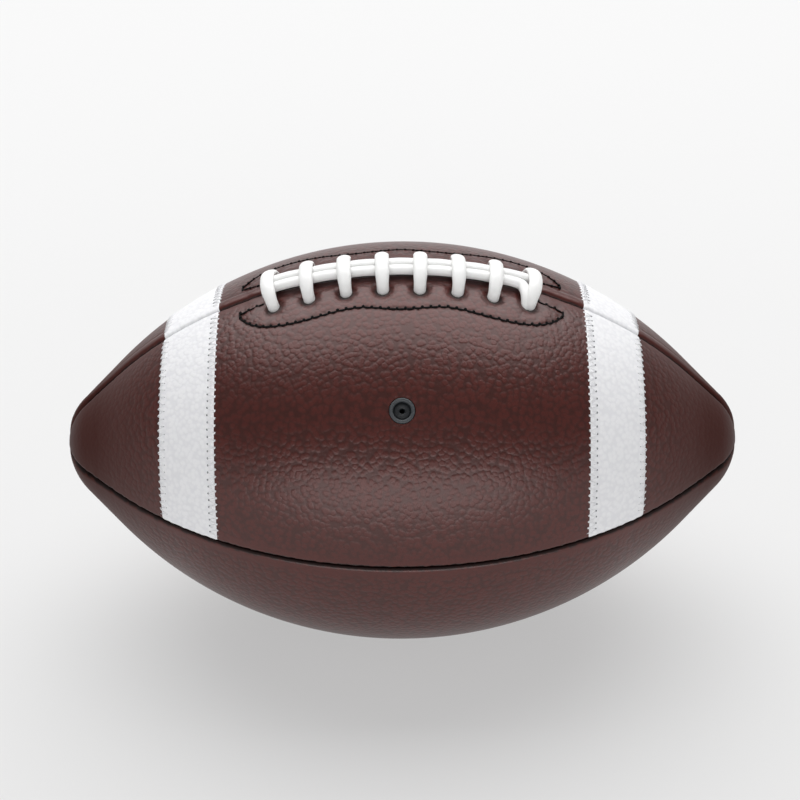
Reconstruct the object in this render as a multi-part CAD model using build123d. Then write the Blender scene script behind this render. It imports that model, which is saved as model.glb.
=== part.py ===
from build123d import *
from math import asin, atan, cos, hypot, radians, sin, sqrt, tan
import os

# American football: four sewn panels, a lace, stripes, linings and a bladder with its valve.
# X runs from nose to nose, +Z leaves through the laces, the valve faces -Y and +Z.
# The shapes are drawn about the long axis and lifted to rest on Z = 0 at the end.

# Ball
ball_length = 284.0
belly_radius = 84.6
nose_radius = 29.4
nose_run = 23.2
slope_steps = 40

# Cover and lining
cover_thickness = 1.8
lining_thickness = 1.8
hem_width = 5.6
seam_gap = 0.2
seam_roll = 1.9
layer_gap = 0.1
on_seam_share = 0.001
overrun = 40.0

# Seam thread
thread_diameter = 0.7
thread_gap = 0.25
thread_cover = 0.2

# Stripes
stripe_inner_edge = 74.6
stripe_width = 23.2
stripe_inlay = 0.6
stripe_rise = 0.35
stripe_tuck = 0.1

# Lace
lace_diameter = 4.4
lace_gap = 0.4
lace_hole_gap = 0.3
strand_lift = 0.3
cross_gap = 0.6
lace_crosses = 8
lace_pitch = 15.0
lace_hole_offset = 11.0
strand_offset = 2.5
cross_bend = 8.0
lace_bend = 3.4
strand_segments = 6
strand_bend_share = 0.5
strand_end_share = 0.75
dive_back = 4.5
dive_offset = 5.5
tail_shift = 1.0
tail_length = 1.0

# Facing, its stitching and the tongue
facing_half_length = 67.5
facing_near_half_length = 55.0
facing_bend_half_length = 57.0
facing_tip_offset = 9.2
facing_reach = 23.4
facing_wave = 1.9
facing_wave_half_pitch = 17.0
stitch_inset = 1.4
stitch_pitch = 3.4
stitch_length_share = 0.8
stitch_width = 0.8
stitch_height = 0.6
tongue_half_length = 62.0
tongue_half_width = 14.5
tongue_thickness = 1.2
slit_half_length = 61.0

# Bladder and valve
bladder_gap = 0.3
bladder_wall = 1.0
pocket_margin = 1.5
valve_angle = 45.0
valve_radius = 5.3
valve_sink = 0.3
valve_hole_gap = 0.25
valve_recess_radius = 3.25
valve_recess_depth = 1.2
valve_core_radius = 2.5
valve_core_gap = 0.1
valve_inner_length = 8.0
flange_radius = 13.0
flange_thickness = 1.4
needle_radius = 1.0

# Meridian: belly arc, straight cone and round nose, tangent to each other
# The slope of the cone is found by steps, from a cone at half a right angle
half_length = ball_length / 2
nose_centre = half_length - nose_radius
shoulder_reach = half_length - nose_run
slope = radians(45)
for _ in range(slope_steps):
    cone_run = nose_centre + nose_radius * sin(slope) - shoulder_reach
    shoulder_radius = nose_radius * cos(slope) + cone_run * tan(slope)
    arc_slope = 2 * atan((belly_radius - shoulder_radius) / shoulder_reach)
    slope = (slope + arc_slope) / 2
belly_arc_radius = shoulder_reach / sin(slope)
arc_centre = belly_radius - belly_arc_radius
nose_middle = (radians(90) + slope) / 2
reach = ball_length + overrun

# Depths below the leather
layer_depth = cover_thickness + lining_thickness
lace_radius = lace_diameter / 2
hole_sag = belly_radius - sqrt(belly_radius ** 2 - lace_hole_offset ** 2)
run_depth = layer_depth + hole_sag + lace_gap + lace_radius
tongue_depth = run_depth + lace_radius + lace_gap
pocket_depth = tongue_depth + tongue_thickness + bladder_gap
bladder_depth = layer_depth + bladder_gap
tunnel_radius = thread_diameter / 2 + thread_gap
thread_depth = layer_depth - thread_cover - tunnel_radius
tuck_depth = seam_roll + stripe_tuck


def meridian(depth):
    arc_radius = belly_arc_radius - depth
    tip_radius = nose_radius - depth
    tip = Vector(nose_centre + tip_radius, 0, 0)
    bend = Vector(nose_centre + tip_radius * sin(nose_middle), 0, tip_radius * cos(nose_middle))
    cone = Vector(nose_centre + tip_radius * sin(slope), 0, tip_radius * cos(slope))
    shoulder = Vector(arc_radius * sin(slope), 0, arc_radius * cos(slope) + arc_centre)
    left = [Vector(-spot.X, 0, spot.Z) for spot in (tip, bend, cone, shoulder)]
    return [
        ThreePointArc(left[0], left[1], left[2]),
        Line(left[2], left[3]),
        ThreePointArc(left[3], Vector(0, 0, belly_radius - depth), shoulder),
        Line(shoulder, cone),
        ThreePointArc(cone, bend, tip),
    ]


def ball(depth):
    curve = meridian(depth)
    closing = Line(curve[-1] @ 1, curve[0] @ 0)
    return revolve(make_face(curve + [closing]), Axis.X, 360)


def shell(outer_depth, inner_depth):
    return ball(outer_depth) - ball(inner_depth)


def quarter_block(inset):
    return Pos(0, -inset - reach / 2, inset + reach / 2) * Box(2 * reach, reach, reach)


def slab(low, high):
    return Pos((low + high) / 2, 0, 0) * Box(high - low, 2 * reach, 2 * reach)


# Quarter of the ball whose two long edges are rolled into the seams
def rolled_quarter(depth, inset, roll):
    quarter = ball(depth) & quarter_block(inset)
    edges = []
    for edge in quarter.edges():
        spots = [edge.position_at(share) for share in (0, 0.5, 1)]
        on_upper = all(abs(spot.Y + inset) < on_seam_share * layer_gap for spot in spots)
        on_lower = all(abs(spot.Z - inset) < on_seam_share * layer_gap for spot in spots)
        if on_upper != on_lower:
            edges.append(edge)
    return fillet(edges, roll)


def turned(shape, angle):
    return Rot(angle, 0, 0) * shape


def about_face(shape):
    return Rot(0, 0, 180) * shape


# Seam thread: a cord in a tunnel through both hems
def seam_cord(radius, path, ends):
    wire = Wire(path)
    cord = sweep(Plane(origin=wire @ 0, z_dir=wire % 0) * Circle(radius), path=wire)
    if ends:
        for spot in (wire @ 0, wire @ 1):
            cord += Pos(spot) * Sphere(radius)
    return cord


def seam_path():
    return meridian(thread_depth)[1:4]


def slit_end_path():
    angle = asin(slit_half_length / belly_arc_radius)
    middle = (angle + slope) / 2
    spots = []
    for turn in (angle, middle, slope):
        radius = belly_arc_radius - thread_depth
        spots.append(Vector(radius * sin(turn), 0, arc_centre + radius * cos(turn)))
    return [ThreePointArc(*spots), meridian(thread_depth)[3]]


whole_tunnel = seam_cord(tunnel_radius, seam_path(), True)
whole_thread = seam_cord(thread_diameter / 2, seam_path(), False)
end_tunnel = seam_cord(tunnel_radius, slit_end_path(), True)
end_thread = seam_cord(thread_diameter / 2, slit_end_path(), False)
end_tunnels = end_tunnel + mirror(end_tunnel, about=Plane.YZ)

# Lace stations on the belly arc
stations = []
for index in range(lace_crosses):
    stations.append((index - (lace_crosses - 1) / 2) * lace_pitch / belly_arc_radius)
first_station = stations[0]
last_station = stations[-1]
dive_station = last_station - dive_back / belly_arc_radius
tail_station = last_station + tail_shift / belly_arc_radius


def lace_spot(station, offset, height):
    radius = belly_arc_radius + height
    return Vector(radius * sin(station), offset, arc_centre + radius * cos(station))


def lace_hole(station, offset):
    up = Vector(sin(station), 0, cos(station))
    base = Plane(origin=lace_spot(station, offset, -pocket_depth), z_dir=up)
    return extrude(base * Circle(lace_radius + lace_hole_gap), pocket_depth + overrun)


# A notch is a lace hole that opens into the slit between the two upper panels
def lace_notch(station, offset):
    along = Vector(cos(station), 0, -sin(station))
    up = Vector(sin(station), 0, cos(station))
    base = Plane(origin=lace_spot(station, offset, -pocket_depth), x_dir=along, z_dir=up)
    mouth = base * Pos(0, -offset / 2) * Rectangle(2 * (lace_radius + lace_hole_gap), abs(offset))
    return lace_hole(station, offset) + extrude(mouth, pocket_depth + overrun)


cross_holes = [lace_hole(station, -lace_hole_offset) for station in stations]
front_holes = cross_holes + [lace_hole(dive_station, -dive_offset), lace_notch(-tail_station, -strand_offset)]
rear_holes = [about_face(hole) for hole in cross_holes]
rear_holes += [lace_notch(first_station, strand_offset), lace_notch(tail_station, strand_offset)]


# Lace: one cord, from its tail at the left along the front strand, then eight crosses, then the rear strand
strand_height = lace_radius + strand_lift
cross_height = strand_height + lace_diameter + cross_gap


def strand_spots(first, last, offset):
    step = (last - first) / strand_segments
    lift = (belly_arc_radius + strand_height) / cos(step / 2) - belly_arc_radius
    return [lace_spot(first + step * (index + 1 / 2), offset, lift) for index in range(strand_segments)]


strand_bends = [strand_bend_share * belly_arc_radius] * strand_segments
strand_end = last_station - strand_end_share * lace_pitch / belly_arc_radius
route = [lace_spot(-tail_station, -strand_offset, -run_depth - tail_length)]
bends = []
route.append(lace_spot(-tail_station, -strand_offset, strand_height))
bends.append(lace_bend)
route += strand_spots(-tail_station, strand_end, -strand_offset)
bends += strand_bends
route.append(lace_spot(dive_station, -dive_offset, strand_height))
bends.append(lace_bend)
route.append(lace_spot(dive_station, -dive_offset, -run_depth))
bends.append(lace_bend)
for station in reversed(stations):
    route.append(lace_spot(station, -lace_hole_offset, -run_depth))
    route.append(lace_spot(station, -lace_hole_offset, cross_height))
    route.append(lace_spot(station, lace_hole_offset, cross_height))
    route.append(lace_spot(station, lace_hole_offset, -run_depth))
    bends += [lace_bend, cross_bend, cross_bend, lace_bend]
route.append(lace_spot(first_station, strand_offset, -run_depth))
bends.append(lace_bend)
route.append(lace_spot(first_station, strand_offset, strand_height))
bends.append(lace_bend)
route += strand_spots(first_station, tail_station, strand_offset)
bends += strand_bends
route.append(lace_spot(tail_station, strand_offset, strand_height))
bends.append(lace_bend)
route.append(lace_spot(tail_station, strand_offset, -run_depth - tail_length))
lace_path = FilletPolyline(*route, radius=bends)
lace = sweep(Plane(origin=lace_path @ 0, z_dir=lace_path % 0) * Circle(lace_radius), path=lace_path)

# Facing outline seen from above; grow moves its edge outward
facing_near = seam_gap / 2 + hem_width + layer_gap


def facing_outline(grow):
    far = -facing_reach - grow
    crest = far + facing_wave
    tip = Vector(facing_half_length + grow, -facing_tip_offset)
    bend = Vector(facing_bend_half_length + grow, crest)
    near = Vector(facing_near_half_length, -facing_near + grow)
    curve = [bend, Vector(2 * facing_wave_half_pitch, far), Vector(facing_wave_half_pitch, crest)]
    left = [Vector(-spot.X, spot.Y) for spot in [tip] + curve]
    right = [Vector(0, far)] + curve[::-1] + [tip]
    near_left = Vector(-near.X, near.Y)
    return [Spline(*left, *right), Line(tip, near), Line(near, near_left), Line(near_left, left[0])]


def facing_prism(grow):
    return extrude(make_face(facing_outline(grow)), belly_radius + overrun)


# Panels
plain_quarter = rolled_quarter(0, seam_gap / 2, seam_roll)
hem_block = quarter_block(seam_gap / 2 + hem_width)
blank = plain_quarter - (ball(cover_thickness) & hem_block) - ball(layer_depth)
lower_tunnel = turned(whole_tunnel, 90)
plain_panel = blank - lower_tunnel - whole_tunnel
laced_blank = blank - lower_tunnel - end_tunnels

# Stripes: let into the leather, and rolled with it into the seams
raised_quarter = rolled_quarter(-stripe_rise, seam_gap / 2, seam_roll + stripe_rise)
sunk_quarter = rolled_quarter(stripe_inlay, seam_gap / 2 + stripe_inlay, seam_roll - stripe_inlay)
floor_inset = stripe_inlay + layer_gap
floor_quarter = rolled_quarter(floor_inset, seam_gap / 2 + floor_inset, seam_roll - floor_inset)
stripe_outer_edge = stripe_inner_edge + stripe_width
right_stripe = (raised_quarter - sunk_quarter - ball(tuck_depth)) & slab(stripe_inner_edge, stripe_outer_edge)
left_stripe = mirror(right_stripe, about=Plane.YZ)
stripe_slab = slab(stripe_inner_edge - layer_gap, stripe_outer_edge + layer_gap) & quarter_block(0)
right_bed = stripe_slab - floor_quarter - ball(tuck_depth + layer_gap)
laced_blank = laced_blank - right_bed - mirror(right_bed, about=Plane.YZ)

# Valve stands square on the middle of the front panel
bladder_inner = bladder_depth + bladder_wall
stem_top = belly_radius - valve_sink
stem_bottom = belly_radius - bladder_inner - valve_inner_length


def valve_post(radius, low, high):
    return turned(Pos(0, 0, low) * extrude(Circle(radius), high - low), valve_angle)


valve_hole = valve_post(valve_radius + valve_hole_gap, stem_bottom, belly_radius + overrun)
flange_depth = bladder_inner + layer_gap
flange_post = valve_post(flange_radius, stem_bottom, stem_top)
valve_flange = shell(flange_depth, flange_depth + flange_thickness) & flange_post
valve_body = valve_post(valve_radius, stem_bottom, stem_top) + valve_flange
core_top = stem_top - valve_recess_depth
valve_body -= valve_post(valve_recess_radius, core_top, stem_top + overrun)
valve_body -= valve_post(valve_core_radius + valve_core_gap, stem_bottom - overrun, stem_top)
valve_core = valve_post(valve_core_radius, stem_bottom, core_top)
valve_core -= valve_post(needle_radius, stem_bottom - overrun, stem_top)

upper_front_panel = laced_blank - front_holes - valve_hole
upper_rear_panel = about_face(laced_blank) - rear_holes
lower_front_panel = turned(plain_panel, 90)
lower_rear_panel = turned(plain_panel, 180)

# Linings and facings share the layer between the hems
lining_inset = seam_gap / 2 + hem_width + layer_gap
layer = shell(cover_thickness + layer_gap, layer_depth)
plain_lining = layer & quarter_block(lining_inset)
laced_lining = plain_lining - facing_prism(layer_gap)
facing = layer & facing_prism(0)
upper_front_lining = laced_lining - valve_hole
upper_rear_lining = about_face(laced_lining)
front_facing = facing - front_holes
rear_facing = about_face(facing) - rear_holes

# Tongue and bladder
upper_half = Pos(0, 0, reach / 2)
tongue_box = upper_half * Box(2 * tongue_half_length, 2 * tongue_half_width, reach)
lace_tongue = shell(tongue_depth, tongue_depth + tongue_thickness) & tongue_box


def bladder_skin(depth, floor_depth, margin):
    length = 2 * (tongue_half_length + margin)
    width = 2 * (tongue_half_width + margin)
    hollow = (upper_half * Box(length, width, reach)) - ball(floor_depth)
    return ball(depth) - hollow


bladder = bladder_skin(bladder_depth, pocket_depth, pocket_margin)
bladder -= bladder_skin(bladder_inner, pocket_depth + bladder_wall, pocket_margin + bladder_wall)
bladder -= valve_post(valve_radius + layer_gap, stem_bottom, belly_radius)

# Black stitches around each facing, one bar for each stitch, left out along the slit that the strands cover
far_line, right_line, _, left_line = facing_outline(-stitch_inset)
stitch_line = Wire([left_line, far_line, right_line])
dive_spot = lace_spot(dive_station, -dive_offset, 0)
stitch_count = round(stitch_line.length / stitch_pitch)
stitch_bars = []
for index in range(stitch_count):
    start = stitch_line.position_at((index + (1 - stitch_length_share) / 2) / stitch_count)
    end = stitch_line.position_at((index + (1 + stitch_length_share) / 2) / stitch_count)
    ends = []
    for spot in (start, end):
        ring = sqrt(belly_arc_radius ** 2 - spot.X ** 2) + arc_centre
        ends.append(Vector(spot.X, spot.Y, sqrt(ring ** 2 - spot.Y ** 2)))
    middle = (ends[0] + ends[1]) / 2
    if (middle - dive_spot).length < lace_radius + stitch_pitch:
        continue
    ring = hypot(middle.Y, middle.Z)
    along = asin(middle.X / belly_arc_radius)
    up = Vector(sin(along), cos(along) * middle.Y / ring, cos(along) * middle.Z / ring)
    plane = Plane(origin=middle + up * (layer_gap + stitch_height / 2), x_dir=ends[1] - ends[0], z_dir=up)
    stitch_bars.append(plane * Box((ends[1] - ends[0]).length, stitch_width, stitch_height))
front_facing_stitching = Compound(stitch_bars)
rear_facing_stitching = Compound([about_face(bar) for bar in stitch_bars])

parts = {
    "upper_front_panel": upper_front_panel,
    "upper_rear_panel": upper_rear_panel,
    "lower_front_panel": lower_front_panel,
    "lower_rear_panel": lower_rear_panel,
    "upper_front_lining": upper_front_lining,
    "upper_rear_lining": upper_rear_lining,
    "lower_front_lining": turned(plain_lining, 90),
    "lower_rear_lining": turned(plain_lining, 180),
    "front_left_stripe": left_stripe,
    "front_right_stripe": right_stripe,
    "rear_left_stripe": about_face(right_stripe),
    "rear_right_stripe": about_face(left_stripe),
    "front_facing": front_facing,
    "rear_facing": rear_facing,
    "front_facing_stitching": front_facing_stitching,
    "rear_facing_stitching": rear_facing_stitching,
    "lace": lace,
    "lace_tongue": lace_tongue,
    "bladder": bladder,
    "valve_body": valve_body,
    "valve_core": valve_core,
    "front_seam_thread": turned(whole_thread, 90),
    "bottom_seam_thread": turned(whole_thread, 180),
    "rear_seam_thread": turned(whole_thread, 270),
    "lace_seam_thread_right": end_thread,
    "lace_seam_thread_left": mirror(end_thread, about=Plane.YZ),
}

# Least gap of the lace to itself, measured on points along its middle line
point_count = 1200
spots = [lace_path.position_at(index / point_count) for index in range(point_count + 1)]
step = lace_path.length / point_count
skip = int(2 * lace_diameter / step)
least = reach
for index in range(point_count):
    for other in range(index + skip, point_count + 1):
        least = min(least, (spots[index] - spots[other]).length)
print("lace length", round(lace_path.length), "least self gap", round(least - lace_diameter, 2))

os.makedirs("parts", exist_ok=True)
for name, shape in parts.items():
    export_step(Pos(0, 0, belly_radius) * shape, f"parts/{name}.step")
    print(name, len(shape.solids()), round(shape.volume, 1), shape.is_valid)
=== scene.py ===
import math
import random

import bmesh
import bpy
import numpy as np
from mathutils import Matrix, Vector


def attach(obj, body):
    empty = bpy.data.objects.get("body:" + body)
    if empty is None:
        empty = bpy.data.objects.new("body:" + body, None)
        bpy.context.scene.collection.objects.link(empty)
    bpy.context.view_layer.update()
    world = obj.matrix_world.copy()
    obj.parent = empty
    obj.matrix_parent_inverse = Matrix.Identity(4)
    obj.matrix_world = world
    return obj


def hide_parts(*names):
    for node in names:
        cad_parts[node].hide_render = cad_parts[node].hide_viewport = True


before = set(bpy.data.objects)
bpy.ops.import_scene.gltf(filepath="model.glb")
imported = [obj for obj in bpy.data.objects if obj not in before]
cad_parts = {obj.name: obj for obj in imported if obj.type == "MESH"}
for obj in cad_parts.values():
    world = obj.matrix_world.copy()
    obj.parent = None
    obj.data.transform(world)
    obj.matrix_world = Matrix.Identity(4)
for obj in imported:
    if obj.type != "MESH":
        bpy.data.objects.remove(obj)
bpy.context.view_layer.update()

mm = 0.001
random.seed(7)
print("frame loaded,", len(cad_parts), "nodes")

# the ball's outline: belly arc, cone and round nose, as in the solids (mm)
ball = {
    "length": 284.0,
    "bellyRadius": 84.6,
    "bellyArc": 168.0,
    "noseSlope": 45.0,  # degrees
}
slope = math.radians(ball["noseSlope"])
arcCentre = ball["bellyRadius"] - ball["bellyArc"]
coneDistance = ball["bellyArc"] + arcCentre * math.cos(slope)
noseCentre = (ball["length"] / 2 - coneDistance) / (1 - math.sin(slope))
noseRadius = ball["length"] / 2 - noseCentre
shoulderX = ball["bellyArc"] * math.sin(slope)
shoulderR = ball["bellyArc"] * math.cos(slope) + arcCentre
bellyRun = ball["bellyArc"] * slope
coneRun = (shoulderR - noseRadius * math.cos(slope)) / math.sin(slope)
noseRun = noseRadius * (math.pi / 2 - slope)
halfRun = bellyRun + coneRun + noseRun


def meridian(run):  # run along the meridian from the middle, gives x, radius and the tilt of the surface
    run = np.asarray(run, float)
    far = np.abs(run)
    bellyTurn = np.minimum(far, bellyRun) / ball["bellyArc"]
    coneWay = np.clip(far - bellyRun, 0, coneRun)
    noseTurn = np.clip(far - bellyRun - coneRun, 0, noseRun) / noseRadius
    onNose = far > bellyRun + coneRun
    onCone = far > bellyRun
    x = ball["bellyArc"] * np.sin(bellyTurn)
    r = ball["bellyArc"] * np.cos(bellyTurn) + arcCentre
    x = np.where(onCone, shoulderX + coneWay * math.cos(slope), x)
    r = np.where(onCone, shoulderR - coneWay * math.sin(slope), r)
    x = np.where(onNose, noseCentre + noseRadius * np.sin(slope + noseTurn), x)
    r = np.where(onNose, noseRadius * np.cos(slope + noseTurn), r)
    tilt = bellyTurn + noseTurn
    return np.sign(run) * x, r, np.sign(run) * tilt


def runAt(x):  # run along the meridian at this place on the belly
    return math.asin(x / ball["bellyArc"]) * ball["bellyArc"]


def onSkin(run, turn, height):  # turn is the angle from the laces (+Z) towards the valve side (-Y)
    x, r, tilt = meridian(run)
    out = r + height * np.cos(tilt)
    return np.stack([
        x + height * np.sin(tilt) + 0 * turn,
        -out * np.sin(turn),
        out * np.cos(turn) + ball["bellyRadius"],
    ], axis=-1)


def ease(low, high, value):  # smooth step from 0 to 1
    t = np.clip((value - low) / (high - low), 0, 1)
    return t * t * (3 - 2 * t)


def bell(value, spread):  # 1 at zero, falling off to both sides
    return np.exp(-(value / spread) ** 2)


# mesh makers
def addPiece(name, points, faces, material, smooth=True):
    mesh = bpy.data.meshes.new(name)
    mesh.from_pydata((np.asarray(points) * mm).tolist(), [], faces)
    mesh.validate()
    bm = bmesh.new()
    bm.from_mesh(mesh)
    bmesh.ops.recalc_face_normals(bm, faces=bm.faces)
    bm.to_mesh(mesh)
    bm.free()
    mesh.polygons.foreach_set("use_smooth", [smooth] * len(mesh.polygons))
    mesh.materials.append(material)
    piece = bpy.data.objects.new(name, mesh)
    bpy.context.scene.collection.objects.link(piece)
    return piece


def loftRings(rings):  # closed tube through rings of equal length, capped at both ends
    count, size = len(rings), len(rings[0])
    faces = []
    for i in range(count - 1):
        for j in range(size):
            k = (j + 1) % size
            faces.append((i * size + j, i * size + k, (i + 1) * size + k, (i + 1) * size + j))
    faces.append(tuple(range(size)))
    faces.append(tuple(range((count - 1) * size, count * size)))
    return np.concatenate(rings), faces


def joinParts(parts):
    points, faces, base = [], [], 0
    for partPoints, partFaces in parts:
        points.append(partPoints)
        faces += [tuple(index + base for index in face) for face in partFaces]
        base += len(partPoints)
    return np.concatenate(points), faces


def tube(path, sides, acrossHalf, upHalf, sideways):  # oval tube; sideways gives the wide way at each point
    path = np.asarray(path, float)
    ahead = np.gradient(path, axis=0)
    ahead /= np.linalg.norm(ahead, axis=1)[:, None]
    sideways = np.broadcast_to(np.asarray(sideways, float), path.shape)
    sideways = sideways - ahead * np.sum(sideways * ahead, axis=1)[:, None]
    sideways = sideways / np.linalg.norm(sideways, axis=1)[:, None]
    upward = np.cross(ahead, sideways)
    acrossHalf = np.broadcast_to(acrossHalf, len(path))
    upHalf = np.broadcast_to(upHalf, len(path))
    turn = np.linspace(0, 2 * math.pi, sides, endpoint=False)
    rings = []
    for i in range(len(path)):
        wide = np.outer(np.cos(turn) * acrossHalf[i], sideways[i])
        high = np.outer(np.sin(turn) * upHalf[i], upward[i])
        rings.append(path[i] + (wide + high))
    return loftRings(rings)


def spun(profile, foot, axis, sides):  # profile of (radius, height) turned about an axis through foot
    axis = Vector(axis).normalized()
    side = axis.orthogonal().normalized()
    other = axis.cross(side)
    rings = []
    for radius, height in profile:
        ring = []
        for k in range(sides):
            turn = 2 * math.pi * k / sides
            spot = Vector(foot) + axis * height + (side * math.cos(turn) + other * math.sin(turn)) * radius
            ring.append(tuple(spot))
        rings.append(np.array(ring))
    return loftRings(rings)


# materials
def linearColour(code):
    channels = [int(code[i:i + 2], 16) / 255 for i in (1, 3, 5)]
    return [c / 12.92 if c <= 0.04045 else ((c + 0.055) / 1.055) ** 2.4 for c in channels] + [1.0]


def addNode(tree, kind, settings=None, links=None):
    node = tree.nodes.new(kind)
    for key, value in (settings or {}).items():
        if isinstance(key, int) or key in node.inputs:
            node.inputs[key].default_value = value
        else:
            setattr(node, key, value)
    for key, source in (links or {}).items():
        tree.links.new(source, node.inputs[key])
    return node


def newMaterial(name, look):
    material = bpy.data.materials.new(name)
    material.use_nodes = True
    tree = material.node_tree
    shader = tree.nodes["Principled BSDF"]
    shader.inputs["Base Color"].default_value = linearColour(look["colour"])
    shader.inputs["Roughness"].default_value = look["roughness"]
    shader.inputs["IOR"].default_value = look["ior"]
    place = addNode(tree, "ShaderNodeTexCoord").outputs["Object"]
    return material, tree, shader, place


def perMetre(size):  # texture scale for a feature of this size in mm
    return 1 / (size * mm)


# pebbled leather: embossed cowhide, tanned red-brown under a hard clear finish, so a broad soft sheen
# broken by small pebbles
leatherLook = {
    "colour": "#401510",
    "pale": "#4f1c15",  # patches where the tan took less
    # painted shade in the creases between the pebbles
    "crease": "#36120c",
    "nose": "#3a130c",  # painted shade: the ends are darker, and they are also duller
    "edgeDyeAndShade": "#140604",  # cut edges dyed dark, with painted shade of the seam grooves and of the lace holes
    "sheenTint": "#ffe8e6",
    # painted shade: a darker tint that weakens the sheen on the noses
    "noseSheen": "#6e605e",
    "pebble": 2.1,  # mm
    "pebbleHeight": 0.09,  # mm
    "pore": 0.45,  # mm
    "poreShare": 0.2,  # of the pebbles' height
    "patch": 30.0,  # mm
    "roughness": 0.36,
    "noseRoughness": 0.6,
    "noseFrom": 92.0,  # mm from the middle
    "noseTo": 128.0,
    "ior": 1.58,
}


def addPebbles(tree, place, size):  # soft domes of about this size, 1 on top and 0 in the creases
    bend = addNode(tree, "ShaderNodeTexNoise", {"Scale": perMetre(size * 2), "Detail": 2.0},
                   {"Vector": place})
    wander = 0.6 * size * mm  # keeps the pebbles from looking like a regular net
    shift = addNode(tree, "ShaderNodeVectorMath", {"operation": "SCALE", "Scale": wander},
                    {"Vector": bend.outputs["Color"]})
    moved = addNode(tree, "ShaderNodeVectorMath", {"operation": "ADD"},
                    {0: place, 1: shift.outputs["Vector"]})
    cells = addNode(tree, "ShaderNodeTexVoronoi",
                    {"feature": "SMOOTH_F1", "Scale": perMetre(size), "Smoothness": 0.2},
                    {"Vector": moved.outputs["Vector"]})
    dome = addNode(tree, "ShaderNodeMapRange",
                   {"From Min": 0.34, "From Max": 0.72, "To Min": 1.0, "To Max": 0.0},
                   {"Value": cells.outputs["Distance"]})
    return dome.outputs["Result"]


def makeLeather(name, look):
    material, tree, shader, place = newMaterial(name, look)
    dome = addPebbles(tree, place, look["pebble"])
    grain = addNode(tree, "ShaderNodeAttribute", {"attribute_name": "grain"})
    rise = addNode(tree, "ShaderNodeMath", {"operation": "MULTIPLY"}, {0: dome, 1: grain.outputs["Fac"]})
    pores = addNode(tree, "ShaderNodeTexNoise", {"Scale": perMetre(look["pore"]), "Detail": 3.0},
                    {"Vector": place})
    fine = addNode(tree, "ShaderNodeMath", {"operation": "MULTIPLY_ADD", 1: look["poreShare"]},
                   {0: pores.outputs["Fac"], 2: rise.outputs["Value"]})
    bump = addNode(tree, "ShaderNodeBump", {"Strength": 1.0, "Distance": look["pebbleHeight"] * mm},
                   {"Height": fine.outputs["Value"]})
    tree.links.new(bump.outputs["Normal"], shader.inputs["Normal"])
    # how far out towards a nose, 0 to 1
    split = addNode(tree, "ShaderNodeSeparateXYZ", {}, {"Vector": place})
    reach = addNode(tree, "ShaderNodeMath", {"operation": "ABSOLUTE"}, {0: split.outputs["X"]})
    towardsNose = addNode(tree, "ShaderNodeMapRange",
                   {"From Min": look["noseFrom"] * mm, "From Max": look["noseTo"] * mm},
                   {"Value": reach.outputs["Value"]})
    # colour: pale patches, painted shade in the creases and on the noses, and dyed edges with painted shade
    # in the seams and lace holes
    patches = addNode(tree, "ShaderNodeTexNoise", {"Scale": perMetre(look["patch"]), "Detail": 4.0},
                      {"Vector": place})
    tone = addNode(tree, "ShaderNodeMix",
                   {"data_type": "RGBA", 6: linearColour(look["colour"]), 7: linearColour(look["pale"])},
                   {0: patches.outputs["Fac"]})
    # painted shade: darker where the pebbles sink into their creases
    sunk = addNode(tree, "ShaderNodeMath", {"operation": "SUBTRACT"},
                   {0: grain.outputs["Fac"], 1: rise.outputs["Value"]})
    shade = addNode(tree, "ShaderNodeMix", {"data_type": "RGBA", 7: linearColour(look["crease"])},
                    {0: sunk.outputs["Value"], 6: tone.outputs[2]})
    # painted shade: the colour darkens towards the ends of the noses
    noseShaded = addNode(tree, "ShaderNodeMix", {"data_type": "RGBA", 7: linearColour(look["nose"])},
                   {0: towardsNose.outputs["Result"], 6: shade.outputs[2]})
    # the dark seams and lace holes: dyed edges and painted shade
    dyeAndShade = addNode(tree, "ShaderNodeAttribute", {"attribute_name": "edgeDyeAndShade"})
    dyed = addNode(tree, "ShaderNodeMix", {"data_type": "RGBA", 7: linearColour(look["edgeDyeAndShade"])},
                   {0: dyeAndShade.outputs["Fac"], 6: noseShaded.outputs[2]})
    tree.links.new(dyed.outputs[2], shader.inputs["Base Color"])
    dull = addNode(tree, "ShaderNodeMix", {2: look["roughness"], 3: look["noseRoughness"]},
                   {0: towardsNose.outputs["Result"]})
    tree.links.new(dull.outputs[0], shader.inputs["Roughness"])
    # painted shade: less sheen towards the ends of the noses
    sheen = addNode(tree, "ShaderNodeMix",
                    {"data_type": "RGBA", 6: linearColour(look["sheenTint"]),
                     7: linearColour(look["noseSheen"])},
                    {0: towardsNose.outputs["Result"]})
    tree.links.new(sheen.outputs[2], shader.inputs["Specular Tint"])
    return material


pebbledLeather = makeLeather("pebbledLeather", leatherLook)

# painted leather: the same hide under a white coat, which half fills the grain and dulls it
stripeLook = {
    "colour": "#f3f3f5",
    # painted shade in the creases between the pebbles
    "crease": "#ebebee",
    "pebble": 1.9,  # mm
    "pebbleHeight": 0.08,  # mm
    "roughness": 0.5,
    "ior": 1.5,
}


def makeStripePaint(name, look):
    material, tree, shader, place = newMaterial(name, look)
    dome = addPebbles(tree, place, look["pebble"])
    bump = addNode(tree, "ShaderNodeBump", {"Strength": 1.0, "Distance": look["pebbleHeight"] * mm},
                   {"Height": dome})
    tree.links.new(bump.outputs["Normal"], shader.inputs["Normal"])
    # painted shade: darker in the creases between the pebbles
    tone = addNode(tree, "ShaderNodeMix",
                   {"data_type": "RGBA", 6: linearColour(look["crease"]), 7: linearColour(look["colour"])},
                   {0: dome})
    tree.links.new(tone.outputs[2], shader.inputs["Base Color"])
    return material


paintedStripe = makeStripePaint("paintedStripeLeather", stripeLook)

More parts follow.
